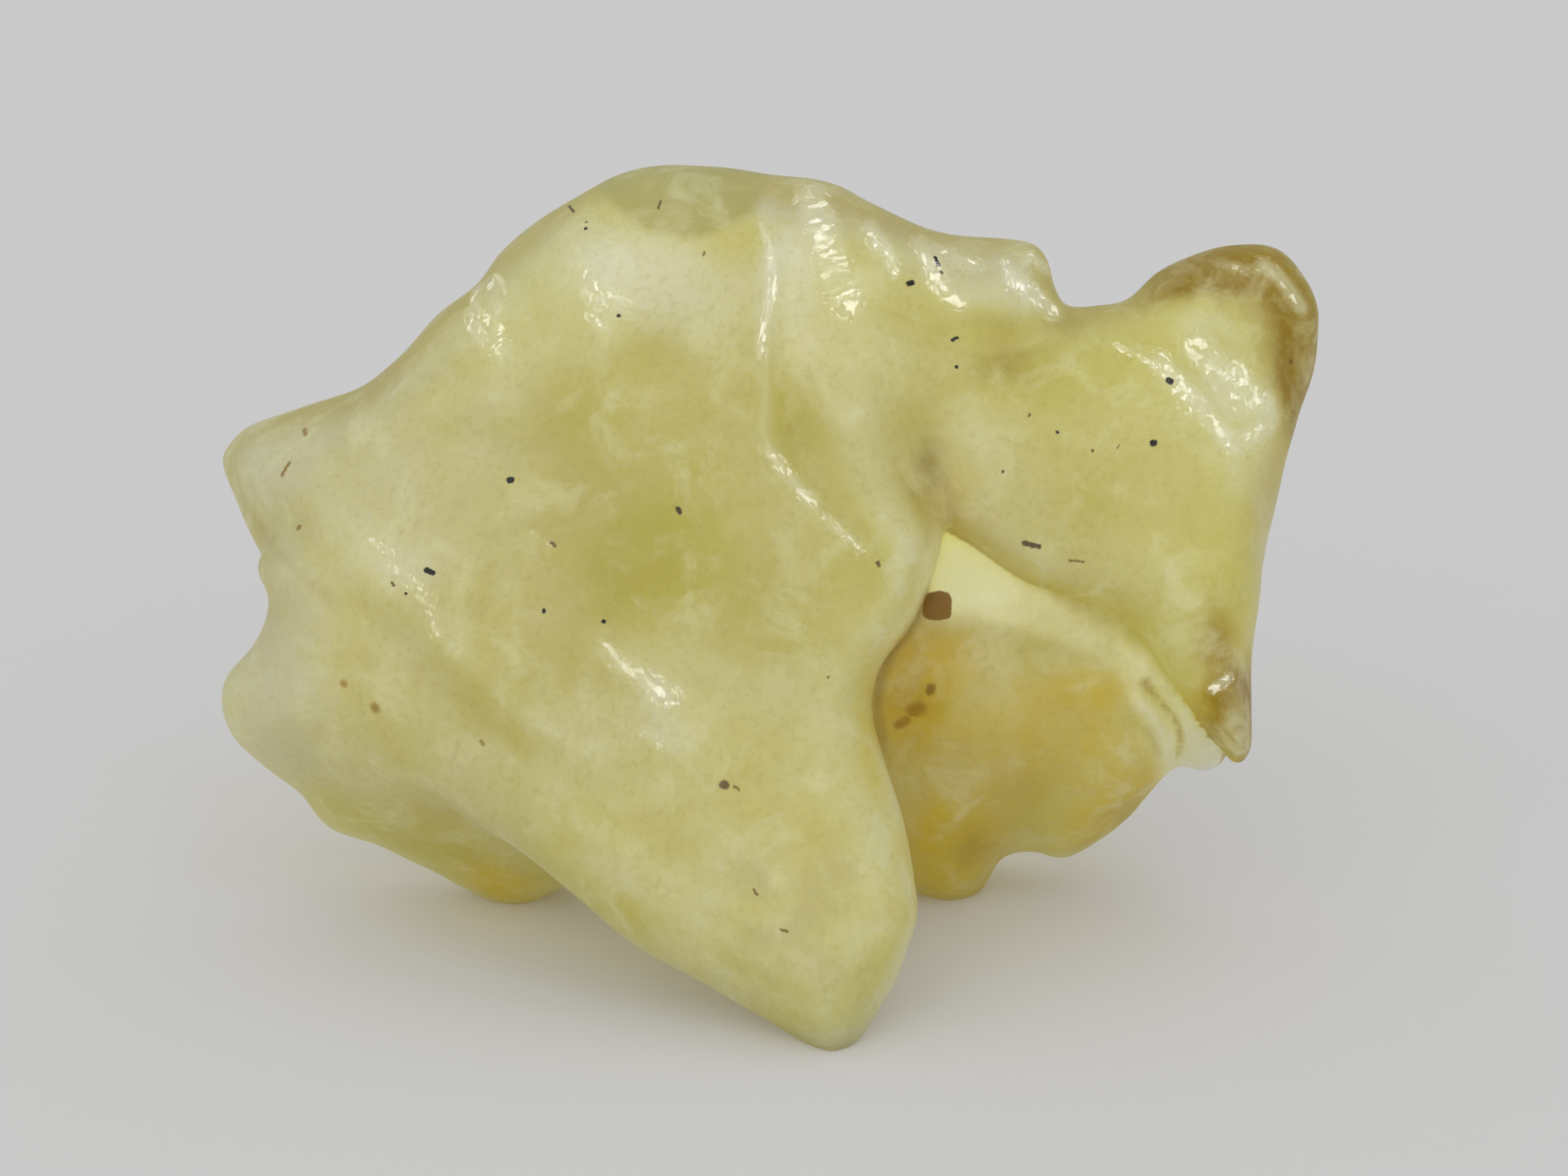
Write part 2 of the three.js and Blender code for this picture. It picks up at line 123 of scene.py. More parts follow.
# Scoops and low swellings: middle, half lengths, turn in degrees, height.
FRONT_SCOOPS = [
    ((-4.8, 10.8), (3.8, 2.5), -10, -0.6), ((1.9, 8.5), (2.4, 4.0), 10, -0.5),
    ((5.7, 3.5), (1.1, 1.5), 0, -0.5), ((6.0, 6.9), (2.4, 1.9), 0, -0.3),
    ((16.8, 9.2), (2.8, 2.2), 30, -0.8), ((-9.3, 6.0), (3.8, 2.5), -30, -0.25),
    ((-4.9, 1.1), (3.0, 2.1), -30, -0.2), ((0.0, -3.3), (1.6, 4.8), -10, -0.15),
    ((0.0, -8.2), (1.9, 3.8), -30, 0.35), ((-13.3, -6.3), (2.9, 1.9), -35, 0.5),
    ((8.0, -5.1), (2.5, 1.9), -10, 0.7), ((10.5, 3.5), (4.8, 2.5), 0, -0.45),
    ((6.2, -8.8), (1.3, 1.6), 0, 0.5), ((12.1, -6.7), (1.0, 1.6), -40, 0.4),
    ((9.3, -7.6), (1.4, 1.1), 0, -0.5),
]
REAR_SCOOPS = [
    ((-10, 9), (5.0, 3.6), 20, -1.2), ((3, 6), (5.5, 4.0), -10, -1.2),
    ((13, 9), (3.0, 3.0), 0, -0.7), ((-14, -3), (3.5, 4.0), 0, -0.9),
    ((-1, -6), (5.0, 3.5), 10, -1.1), ((13, -3), (3.0, 3.5), 0, -0.8),
    ((4, -13), (3.0, 3.0), 0, -0.5),
]
# Swells that run through the whole lump: wave vector, phase, height.
SWELLS = [
    (0.7, 0.4, 0.6, 0.3, 0.08), (-0.5, 0.8, 0.3, 1.7, 0.07), (0.3, -0.6, 0.9, 4.1, 0.06),
    (1.5, 0.9, -1.0, 2.2, 0.025), (-1.2, 1.6, 0.8, 5.0, 0.02),
]
FOOT_LEVEL = -13.15


def ramp(low, high, x):
    """0 up to low, 1 from high, an S-shaped ramp between."""
    t = np.clip((x - low) / (high - low), 0, 1)
    return t * t * (3 - 2 * t)


def bend(x):
    """About x above 0 and 0 below, with a bend 1.5 mm wide."""
    width = 1.5
    return width * np.logaddexp(0, x / width)


def rounded_min(a, b, width):
    """The smaller of a and b, with their meeting rounded over a width."""
    t = np.clip(0.5 + 0.5 * (b - a) / width, 0, 1)
    return b * (1 - t) + a * t - width * t * (1 - t)


def curve_through(points, closed, steps=6):
    """A Catmull-Rom curve through the points, as an array of closely spaced points."""
    p = np.array(points, float)
    if closed:
        p = np.concatenate([p[-1:], p, p[:2]])
    else:
        p = np.concatenate([2 * p[:1] - p[1:2], p, 2 * p[-1:] - p[-2:-1]])
    t = np.linspace(0, 1, steps, endpoint=False)[:, None, None]
    a, b, c, d = p[:-3], p[1:-2], p[2:-1], p[3:]
    track = 0.5 * (2 * b + (c - a) * t + (2 * a - 5 * b + 4 * c - d) * t**2
                   + (3 * b - a - 3 * c + d) * t**3)
    track = track.transpose(1, 0, 2).reshape(-1, p.shape[1])
    return np.concatenate([track, track[:1] if closed else p[-2:-1]])


def line_distance(u, v, track):
    """
    Distance from every (u, v) to the track, how far along it that is, 0 to 1, and the side of
    it that the point is on, 1 for the left and -1 for the right.
    """
    best, along, side = np.full(u.shape, 1e9), np.zeros(u.shape), np.ones(u.shape)
    count = len(track) - 1
    for i, (a, b) in enumerate(zip(track[:-1], track[1:])):
        d = b - a
        t = np.clip(((u - a[0]) * d[0] + (v - a[1]) * d[1]) / max(d @ d, 1e-12), 0, 1)
        gap = (u - a[0] - t * d[0]) ** 2 + (v - a[1] - t * d[1]) ** 2
        nearer = gap < best
        best = np.where(nearer, gap, best)
        along = np.where(nearer, (i + t) / count, along)
        turn = d[0] * (v - a[1]) - d[1] * (u - a[0])
        side = np.where(nearer, np.where(turn < 0, -1, 1), side)
    return np.sqrt(best), along, side


def depth_inside(u, v, outline):
    """Distance from every (u, v) to a closed outline, positive inside it."""
    track = curve_through(outline, True)
    inside = np.zeros(u.shape, bool)
    for a, b in zip(track[:-1], track[1:]):
        rise = b[1] - a[1]
        crossing = a[0] + (v - a[1]) * (b[0] - a[0]) / (rise if rise else 1)
        inside ^= ((a[1] > v) != (b[1] > v)) & (u < crossing)
    distance = line_distance(u, v, track)[0]
    return np.where(inside, distance, -distance)


def patch(u, v, at, size, turn):
    """A soft elliptical patch: 1 in the middle, fading to 0 outside its half lengths."""
    angle = np.radians(turn)
    x = (u - at[0]) * np.cos(angle) + (v - at[1]) * np.sin(angle)
    y = (v - at[1]) * np.cos(angle) - (u - at[0]) * np.sin(angle)
    return np.exp(-((x / size[0]) ** 2) - (y / size[1]) ** 2)


def relief(u, v, folds, scoops):
    """Height of the folds and scoops; each fold dies away over the last quarter at each end."""
    height = np.zeros(u.shape)
    for points, width, rise in folds:
        distance, along, _ = line_distance(u, v, curve_through(points, False))
        taper = ramp(0, 0.25, along) * ramp(0, 0.25, 1 - along)
        height += rise * taper * np.exp(-((distance / width) ** 2))
    for at, size, turn, rise in scoops:
        height += rise * patch(u, v, at, size, turn)
    return height


# What depends on (u, v) alone is worked out once, on tables with a step of 0.1 mm.
TABLE_LOW, TABLE_STEP, TABLE_SIZE = np.array([-26.0, -22.0]), 0.1, (521, 421)
table_u, table_v = np.meshgrid(
    TABLE_LOW[0] + TABLE_STEP * np.arange(TABLE_SIZE[0]),
    TABLE_LOW[1] + TABLE_STEP * np.arange(TABLE_SIZE[1]),
    indexing="ij",
)
depth_tables = [depth_inside(table_u, table_v, s["outline"]) for s in (FRONT, RIGHT, REAR)]
front_table = relief(table_u, table_v, FRONT_FOLDS, FRONT_SCOOPS)
rear_table = relief(table_u, table_v, REAR_FOLDS, REAR_SCOOPS)


def read(table, u, v):
    """The table's value at every (u, v), by bilinear interpolation."""
    x = np.clip((u - TABLE_LOW[0]) / TABLE_STEP, 0, TABLE_SIZE[0] - 1.001)
    y = np.clip((v - TABLE_LOW[1]) / TABLE_STEP, 0, TABLE_SIZE[1] - 1.001)
    i, j = x.astype(int), y.astype(int)
    x, y = x - i, y - j
    near = table[i, j] * (1 - x) + table[i + 1, j] * x
    far = table[i, j + 1] * (1 - x) + table[i + 1, j + 1] * x
    return near * (1 - y) + far * y


def slab(kind, depth, rim, out, front, rear):
    """A slab with an elliptical rim: 0 on its skin and about the distance away from it."""
    edge = np.maximum(1 - depth / rim, 0)
    half = kind["half"] + kind["swell"] * (1 - np.exp(-np.maximum(depth, 0) / kind["over"]))
    raised = front * ramp(0, 2, out) + rear * ramp(0, 2, -out)
    return (np.hypot(edge, out / half) - 1) * kind["half"] - raised


def slabs(p):
    """The three slabs' values at every point (u, v, w)."""
    u, v, w = p.T
    in_front, in_right, in_rear = (read(table, u, v) for table in depth_tables)
    front, rear = read(front_table, u, v), read(rear_table, u, v)
    front_rim = FRONT["rim"] * (1 + ramp(-6, -14, u) * ramp(6, -2, v))
    front_rim = front_rim * (1 - 0.6 * ramp(0, 4, u) * ramp(4, 1, v) * ramp(-14, -11, v))
    above_ledge = v + 0.75 * (u - 8)
    right_rim = RIGHT["rim"] * (1 - 0.65 * ramp(4, 1.5, above_ledge))
    rear_rim = REAR["rim"] * (1 + 1.1 * ramp(9, 4, u) * ramp(-1, 6, v))
    front_middle = 2.9 + 0.1 * u - 0.24 * v - 0.01 * u * u
    right_middle = 0.8 - 0.1 * v - 0.003 * u * u - 0.2 * bend(-v - 3)
    rear_middle = -1.8 - 0.09 * u - 0.58 * bend(-v - 2) + 0.28 * bend(u - 9)
    return (
        slab(FRONT, in_front, front_rim, w - front_middle, front, rear),
        slab(RIGHT, in_right, right_rim, w - right_middle, front, rear),
        slab(REAR, in_rear, rear_rim, w - rear_middle, front, rear),
    )


def glass(p):
    """Negative inside the glass, 0 on its skin, about the distance away from it."""
    u, v, w = p.T
    front, right, rear = slabs(p)
    lower_left = np.exp(-(((u + 12.5) / 4.5) ** 2) - ((v + 3) / 6) ** 2)
    front_join = 1.2
    rear_join = 0.7 + 1.0 * ramp(8, 5, u) * ramp(2, 5, v) + 2.4 * lower_left
    value = rounded_min(rounded_min(front, right, front_join), rear, rear_join)
    for a, b, c, phase, height in SWELLS:
        drift = 0.8 * np.sin(0.5 * b * u - 0.6 * a * v + phase)
        value = value - height * np.sin(a * u + b * v + c * w + phase + drift)
    return value


def wrap(low, high, step):
    """
    A skin of squares round the glass, from a grid of points: one corner in each cell that the
    skin runs through, at the mean of its crossings with the cell's edges, and one square across
    each crossed edge of the grid, wound to face out.
    """
    axes = [np.arange(a, b, step) for a, b in zip(low, high)]
    points = np.stack(np.meshgrid(*axes, indexing="ij"), -1)
    value = np.concatenate([glass(sheet.reshape(-1, 3)) for sheet in points])
    value = value.reshape(points.shape[:3])
    total = np.zeros((*np.subtract(value.shape, 1), 4))
    crossed = []
    for axis in range(3):
        here, there = np.moveaxis(value, axis, 0)[:-1], np.moveaxis(value, axis, 0)[1:]
        cut = np.moveaxis((here < 0) != (there < 0), 0, axis)
        cells = np.argwhere(cut)
        a = value[tuple(cells.T)]
        b = value[tuple((cells + np.eye(3, dtype=int)[axis]).T)]
        spot = points[tuple(cells.T)] + np.outer(step * a / (a - b), np.eye(3)[axis])
        one, two = np.eye(3, dtype=int)[(axis + 1) % 3], np.eye(3, dtype=int)[(axis + 2) % 3]
        ring = [cells - one - two, cells - two, cells, cells - one]
        for cell in ring:
            np.add.at(total, tuple(cell.T), np.column_stack([spot, np.ones(len(spot))]))
        outwards = (a < 0)[:, None, None]
        crossed.append(np.where(outwards, np.stack(ring, 1), np.stack(ring[::-1], 1)))
    used = total[..., 3] > 0
    number = np.cumsum(used).reshape(used.shape) - 1
    squares = number[tuple(np.concatenate(crossed).transpose(2, 0, 1))]
    return total[used][:, :3] / total[used][:, 3:], squares


def part(points, squares):
    """
    Doubles each corner where two sheets of the skin only touch, so that an edge has two squares:
    the squares round such a corner fall into fans, and each fan gets a corner of its own.
    """
    edges = np.sort(np.stack([squares, np.roll(squares, -1, 1)], 2).reshape(-1, 2), 1)
    edges, count = np.unique(edges, axis=0, return_counts=True)
    for corner in np.unique(edges[count > 2]):
        left = list(np.flatnonzero((squares == corner).any(1)))
        fans = []
        while left:
            fan = [left.pop()]
            for square in fan:
                for other in list(left):
                    shared = set(squares[square]) & set(squares[other]) - {corner}
                    if any(((squares == corner).any(1) & (squares == e).any(1)).sum() == 2
                           for e in shared):
                        left.remove(other)
                        fan.append(other)
            fans.append(fan)
        for fan in fans[1:]:
            squares[fan] = np.where(squares[fan] == corner, len(points), squares[fan])
            points = np.vstack([points, points[corner]])
    return points, squares


def slope(p):
    """The slope of the glass field at every point, from 0.02 mm to each side of it."""
    step = 0.02
    return np.stack([(glass(p + s) - glass(p - s)) / (2 * step) for s in step * np.eye(3)], 1)


def settle(p):
    """Moves every point along the slope, by at most 0.3 mm, towards the skin."""
    furthest, least_slope = 0.3, 0.2
    g = slope(p)
    move = glass(p)[:, None] * g / np.maximum((g * g).sum(1, keepdims=True), least_slope**2)
    length = np.linalg.norm(move, axis=1, keepdims=True)
    return p - move * np.minimum(1, furthest / np.maximum(length, 1e-9))


def even_out(p, squares, rounds=14):
    """Slides every point towards the middle of its neighbours and back onto the skin."""
    a = squares.ravel()
    b = np.roll(squares, -1, axis=1).ravel()
    pairs = np.unique(np.concatenate([a * len(p) + b, b * len(p) + a]))
    a, b = pairs // len(p), pairs % len(p)
    count = np.bincount(a, minlength=len(p))
    for _ in range(rounds):
        middle = np.stack([np.bincount(a, p[b, k], len(p)) for k in range(3)], 1)
        p = settle(p + 0.5 * (middle / count[:, None] - p))
    for _ in range(3):
        p = settle(p)
    return p


corners, squares = part(*wrap(GRID_LOW, GRID_HIGH, GRID_STEP))
skin = even_out(corners, squares)
u, v, w = skin.T
stood = np.stack([
    u,
    v * np.sin(LEAN) - w * np.cos(LEAN),
    np.maximum(v * np.cos(LEAN) + w * np.sin(LEAN), FOOT_LEVEL),
], 1)
# Its box is centred over the CAD model's and made to fit just inside it.
cad_low, cad_high = (1000 * np.array(corner) for corner in cad_box)
low, high = stood.min(0), stood.max(0)
foot = np.array([(low[0] + high[0]) / 2, (low[1] + high[1]) / 2, low[2]])
fit = min(1.0, ((cad_high - cad_low) / (high - low)).min())
stood = (stood - foot) * fit

mesh = bpy.data.meshes.new("desert_glass_skin")
mesh.from_pydata((stood / 1000).tolist(), [], squares.tolist())
mesh.polygons.foreach_set("use_smooth", np.ones(len(squares), bool))
mesh.update()

# Patches of colour and wear that run through the glass, each with its middle, half lengths,
# turn in degrees and strength.
CLOUDS = {
    "milk": [
        ((-4.8, 11.1), (3.6, 1.9), -20, 0.95), ((-10.2, 10.2), (1.0, 2.2), 12, 0.15),
        ((0.5, 10.7), (1.2, 2.9), 0, 0.4), ((2.0, 6.9), (1.7, 2.3), 25, 0.15),
        ((5.0, 6.8), (1.9, 1.9), 0, 0.15), ((7.8, 10.4), (2.3, 0.9), -12, 0.35),
        ((0.2, 12.2), (1.2, 2.0), -10, 0.5), ((15.7, 7.3), (2.3, 1.6), -35, 0.4),
        ((-14.6, 3.6), (3.0, 3.4), -30, 0.5), ((-13.3, 0.8), (1.9, 0.9), -35, 0.5),
        ((-17.2, -3.9), (3.1, 2.3), -35, 0.45), ((-7.9, -5.6), (2.7, 2.1), -35, 0.25),
        ((-4.7, -3.3), (1.7, 0.8), -30, 0.5), ((-4.1, -5.1), (1.4, 0.7), -30, 0.5),
        ((-6.0, -9.8), (1.8, 0.9), -35, 0.45), ((-0.9, -9.7), (2.7, 2.4), 0, 0.3),
        ((8.8, -3.6), (1.9, 1.4), 0, 0.2), ((-13.2, -2.4), (3.6, 0.9), -45, 0.45),
        ((17.6, 2.4), (0.7, 2.8), 0, 1.0), ((-10.0, 7.3), (1.8, 1.0), 50, 0.35),
        ((15.4, 9.7), (2.0, 0.7), -5, 0.3), ((15.9, 7.9), (1.5, 0.8), -50, 0.3),
    ],
    "moss": [
        ((-4.9, 0.6), (2.6, 2.1), 0, 0.85), ((-3.0, 3.5), (4.0, 3.7), 0, 0.55),
        ((3.1, 0.9), (1.2, 1.5), 0, 0.5), ((-7.7, 6.4), (1.9, 1.9), 0, 0.4),
        ((7.8, 7.6), (2.5, 1.1), 0, 0.6), ((0.0, -1.4), (2.7, 2.1), 0, 0.55),
        ((1.2, 5.4), (0.9, 3.4), 30, 0.5), ((-14.5, -0.5), (1.1, 3.4), 50, 0.5),
        ((-11.7, -3.6), (1.0, 2.8), 50, 0.45), ((-6.0, -10.8), (1.4, 0.7), -30, 0.5),
        ((0.0, -13.6), (3.6, 0.8), -25, 0.4), ((15.2, 0.6), (1.5, 3.0), 10, 0.5),
        ((11.8, 8.4), (1.8, 1.4), 0, 0.6), ((-15.5, -8.6), (3.5, 0.9), -35, 0.6),
        ((-11.8, -9.8), (2.0, 1.2), -30, 0.6), ((10.3, 6.1), (3.4, 1.7), 0, 0.4),
        ((10.9, 2.3), (3.4, 1.9), 0, 0.4), ((-10.8, 10.9), (1.3, 1.3), 0, 0.3),
    ],
    "amber": [
        ((6.1, -9.3), (2.1, 1.8), 0, 1.0), ((4.6, -3.8), (1.3, 2.0), 0, 1.0),
        ((12.7, -8.3), (2.6, 1.0), 35, 0.6), ((11.2, -3.5), (1.9, 1.0), 0, 0.5),
        ((8.5, -5.5), (3.7, 2.8), 0, 0.6), ((12.2, -5.8), (2.2, 1.8), 0, 0.2),
        ((-10.6, -11.1), (1.8, 0.9), -20, 0.9), ((3.1, -5.6), (0.9, 2.4), 0, 0.3),
        ((5.9, 3.4), (1.3, 1.8), 0, 0.4), ((6.0, -2.2), (1.6, 1.2), 0, 0.4),
        ((12.6, -7.8), (2.6, 1.2), 38, 0.6), ((15.9, -4.0), (1.4, 2.4), 0, 0.9),
        ((6.4, -11.3), (2.0, 1.0), 0, 0.6),
    ],
    "brown": [
        ((19.3, 9.0), (1.2, 4.0), 10, 1.3), ((16.4, 11.8), (3.0, 1.2), 3, 1.2),
        ((14.0, 10.9), (1.8, 0.8), 25, 0.5), ((17.4, 9.6), (1.8, 2.2), 10, 0.3),
        ((10.1, 9.7), (1.3, 0.8), 0, 0.4), ((8.1, 7.9), (1.6, 0.9), 0, 0.35),
        ((7.5, 9.6), (1.5, 0.6), -15, 0.3), ((5.3, 4.3), (0.8, 1.4), 10, 0.5),
        ((5.0, -3.8), (1.2, 2.2), 0, 0.3), ((16.6, -5.0), (1.4, 2.2), 0, 1.5),
        ((18.6, 6.6), (0.9, 2.2), 15, 0.7), ((12.9, -8.6), (2.8, 1.0), 38, 0.5),
        ((15.3, -2.0), (1.0, 2.2), 0, 0.5), ((6.9, -9.6), (1.1, 1.8), 0, 0.35),
        ((0.8, -10.5), (3.6, 4.6), 20, 0.25),
    ],
    "grey": [
        ((-19.4, 4.6), (1.6, 1.9), 0, 0.9), ((-17.5, 5.5), (1.9, 1.6), 0, 0.5),
        ((-18.8, -3.3), (1.6, 1.9), 0, 0.5), ((-3.7, 13.8), (3.4, 1.1), 0, 0.5),
        ((-15.8, -7.1), (2.5, 1.3), -35, 0.3), ((1.5, 14.0), (4.0, 1.2), -12, 1.2),
        ((-17.7, -1.0), (1.6, 4.0), 10, 0.6), ((-18.4, -6.0), (1.8, 1.6), -30, 0.6),
        ((7.2, 11.6), (3.6, 1.6), -14, 0.8), ((-13.0, 4.0), (6.0, 8.0), 20, 0.4),
        ((0.8, -12.5), (3.2, 2.6), 0, 0.4), ((-9.6, 12.2), (3.4, 0.9), 45, 0.5),
        ((-14.0, 7.4), (3.2, 0.8), 30, 0.4),
    ],
}
for name, patches in CLOUDS.items():
    strength = sum(share * patch(u, v, at, size, turn) for at, size, turn, share in patches)
    mesh.attributes.new(name, "FLOAT", "POINT").data.foreach_set("value", strength)

normals = np.empty(3 * len(skin))
mesh.vertices.foreach_get("normal", normals)
ahead = ramp(0.3, -0.1, normals[1::3])

# The cream band lies along the ledge, where the rear block comes out from under the right slab.
LEDGE = [(5.6, 1.0), (7.3, 0.1), (9.5, -1.1), (12.3, -2.6), (14.2, -5.1), (15.5, -6.5)]
front_value, right_value, rear_value = slabs(skin)
distance, along, _ = line_distance(u, v, curve_through(LEDGE, False))
on_rear = ramp(0.15, -0.15, rear_value - np.minimum(front_value, right_value))
width = 2.1 - 1.3 * ramp(0, 0.5, along) + 0.9 * ramp(0.6, 0.9, along)
brightness = 1 - 0.55 * ramp(0.1, 0.45, along) + 0.35 * ramp(0.6, 0.9, along)
cream = brightness * on_rear * ramp(1.5, 0.3, distance / width) * ramp(16.5, 15.9, u) * ahead
mesh.attributes.new("cream", "FLOAT", "POINT").data.foreach_set("value", cream)

# Painted shade down the bottom of each narrow seam and crease: each line has its half width and
# strength.
SEAM_SHADE = [
    ([(13.1, -3.5), (13.6, -4.1), (14.2, -4.8), (14.5, -5.6), (14.5, -6.6)], 0.17, 0.6),
    ([(12.9, -3.2), (13.1, -3.5), (13.4, -3.9)], 0.28, 0.55),
    ([(13.0, -4.9), (13.4, -5.5), (13.8, -6.4)], 0.25, 0.4),
    ([(5.5, 4.6), (5.9, 3.2), (5.7, 1.9)], 0.4, 0.3),
    ([(5.3, 0.6), (4.8, -1.0), (3.7, -2.6), (3.4, -4.4), (3.9, -7.0)], 0.3, 0.5),
    ([(-20.3, 3.9), (-19.3, 2.4), (-17.4, 0.6), (-15.4, -0.9)], 0.3, 0.3),
]
seam_shade = np.zeros(len(skin))
for points, width, strength in SEAM_SHADE:
    distance, along, _ = line_distance(u, v, curve_through(points, False))
    fading = strength * ramp(0, 0.15, along) * ramp(1, 0.85, along)
    seam_shade = np.maximum(seam_shade, fading * np.exp(-((distance / width) ** 2)))
mesh.attributes.new("seam_shade", "FLOAT", "POINT").data.foreach_set("value", seam_shade * ahead)

# The rim of the slabs, along the top and round the right lobe, and the clearer cap on the crest are
# darkened by painted shade, where the thin glass shows darker; the leg's thin right edge is lit
# pale by a painted highlight.
in_front, in_right, _ = (read(table, u, v) for table in depth_tables)
# painted shade: a darker band along the top and right outline
rim = ramp(1.5, 0.2, np.maximum(in_front, in_right)) * ramp(-2, 4, v)
CAP = [(-7.6, 15.6), (-6.6, 14.2), (-5.9, 13.5), (-5.0, 12.8), (-4.0, 12.6), (-3.1, 12.5),
       (-2.2, 12.8), (-1.5, 13.2), (-0.9, 13.7), (-0.6, 16.0), (-4.0, 16.6)]
# painted shade over the cap on the crest
cap_shade = ramp(-0.15, 0.3, depth_inside(u, v, CAP))
on_front = ramp(0.4, 0, front_value - np.minimum(right_value, rear_value))
# painted highlight: a pale band along the leg's right edge
edge = on_front * ramp(0.7, 0.1, in_front) * ramp(2, 4, u) * ramp(5, 1, v)
for name, value in [("rim", rim), ("cap_shade", cap_shade), ("edge", edge)]:
    mesh.attributes.new(name, "FLOAT", "POINT").data.foreach_set("value", value)

# Wind has polished small ripples and chips along some lines: each line has its half width,
# the marks to a millimetre along it and across it, and its strength.
FRONT_POLISH = [
    ([(1.0, 14.0), (1.3, 13.2), (1.7, 12.1), (1.9, 11.0), (2.2, 10.1)], 0.55, (3.4, 0.9), 1.2),
    ([(3.1, 13.1), (3.3, 12.4)], 0.35, (2.4, 2.0), 0.8),
    ([(3.5, 12.5), (3.8, 11.9), (3.9, 11.3)], 0.3, (1.6, 3.0), 0.9),
    ([(4.9, 12.4), (5.2, 11.6), (5.6, 10.7), (6.3, 10.3)], 0.35, (1.4, 3.0), 0.9),
    ([(5.3, 12.3), (5.9, 12.1), (6.3, 11.8), (6.9, 11.6)], 0.35, (2.0, 2.4), 0.6),
    ([(8.0, 11.7), (8.2, 10.8)], 0.25, (1.3, 3.2), 0.8),
    ([(8.6, 11.7), (9.0, 11.9), (9.5, 11.5)], 0.25, (2.0, 2.6), 0.8),
    ([(8.5, 10.9), (9.0, 10.5), (9.7, 10.0)], 0.4, (2.0, 2.4), 1.0),
    ([(-0.8, 12.9), (-0.5, 12.0), (-0.4, 10.6), (-0.7, 9.2), (-0.9, 8.1)], 0.18, (0.6, 4.0), 0.75),
    ([(11.9, 8.7), (12.6, 8.3), (13.3, 7.9)], 0.15, (1.8, 3.0), 0.9),
    ([(13.5, 8.1), (14.1, 7.3), (14.6, 6.7), (15.4, 5.8), (16.2, 5.1)], 0.45, (1.6, 2.2), 0.9),
    ([(14.8, 8.6), (15.4, 8.0), (15.8, 7.3), (16.1, 6.5)], 0.6, (1.6, 2.0), 1.1),
    ([(16.3, 7.8), (16.6, 7.2), (17.0, 6.7)], 0.45, (1.6, 2.0), 1.1),
    ([(17.3, 6.7), (17.5, 6.1), (17.0, 5.6), (16.4, 5.3)], 0.45, (1.8, 2.0), 1.0),
    ([(17.4, 11.7), (18.1, 11.1), (18.8, 10.2)], 0.35, (1.3, 2.6), 0.9),
    ([(15.8, 11.8), (16.3, 11.6), (16.8, 11.5)], 0.3, (1.8, 2.6), 0.5),
    ([(-11.1, 10.9), (-11.2, 9.7), (-10.9, 9.0)], 0.3, (1.6, 2.8), 1.0),
    ([(-10.6, 11.0), (-10.4, 9.2), (-10.2, 8.6)], 0.5, (1.8, 2.0), 0.7),
    ([(-7.0, 11.6), (-6.9, 10.7), (-6.6, 10.2)], 0.3, (1.5, 2.6), 0.9),
    ([(-6.4, 10.7), (-5.7, 10.2)], 0.3, (1.4, 2.6), 0.7),
    ([(-6.9, 9.7), (-6.4, 9.3)], 0.25, (1.4, 2.8), 0.8),
    ([(-0.6, 4.9), (0.0, 4.2), (0.5, 3.6), (1.0, 3.0)], 0.28, (1.8, 3.0), 0.7),
    ([(1.4, 2.5), (2.1, 1.9), (2.7, 1.3)], 0.2, (0.9, 3.4), 0.6),
    ([(-6.2, -2.2), (-5.4, -2.8), (-4.4, -3.5), (-3.9, -3.8)], 0.4, (1.2, 2.6), 0.75),
    ([(-4.9, -4.9), (-4.3, -5.3)], 0.25, (1.3, 2.8), 0.7),
    ([(-14.6, 1.7), (-13.9, 1.2)], 0.2, (1.8, 3.0), 0.5),
    ([(-13.8, 0.9), (-13.2, 0.2), (-12.5, -0.5), (-12.2, -1.6)], 0.3, (1.2, 3.0), 0.5),
    ([(-8.9, 2.0), (-8.1, 1.4)], 0.12, (1.6, 3.0), 0.5),
    ([(15.3, -3.6), (15.9, -3.2)], 0.22, (1.4, 2.8), 0.9),
]
REAR_POLISH = [
    ([(-15, 6.4), (-10.5, 6.0), (-6, 4.6)], 0.5, (1.6, 2.4), 0.55),
    ([(2.5, 9.5), (5.5, 7.5), (9.5, 6.0)], 0.5, (1.6, 2.4), 0.55),
    ([(-16, -3), (-12.5, -1.2), (-9.5, -2.2)], 0.5, (1.8, 2.2), 0.55),
    ([(0.5, -2.5), (3.5, -4.5), (5.0, -7.5)], 0.4, (1.8, 2.4), 0.55),
    ([(13.5, 7.0), (15.5, 5.0), (15.8, 2.5)], 0.4, (1.8, 2.4), 0.55),
    ([(-7.5, 12.8), (-3.5, 13.4), (0.5, 12.8)], 0.45, (3.0, 1.2), 0.55),
]
backwards = normals[1::3] > 0
polish = np.zeros((len(skin), 3))
for lines, there in [(FRONT_POLISH, ~backwards), (REAR_POLISH, backwards)]:
    for points, width, marks, strength in lines:
        track = curve_through(points, False)
        length = np.linalg.norm(np.diff(track, axis=0), axis=1).sum()
        distance, along, side = line_distance(u, v, track)
        share = strength * np.exp(-((distance / width) ** 2)) * there
        place = along * length * marks[0], 7 * width + side * distance * marks[1], share
        polish = np.where((share > polish[:, 2])[:, None], np.stack(place, 1), polish)
mesh.attributes.new("polish", "FLOAT_VECTOR", "POINT").data.foreach_set("vector", polish.ravel())

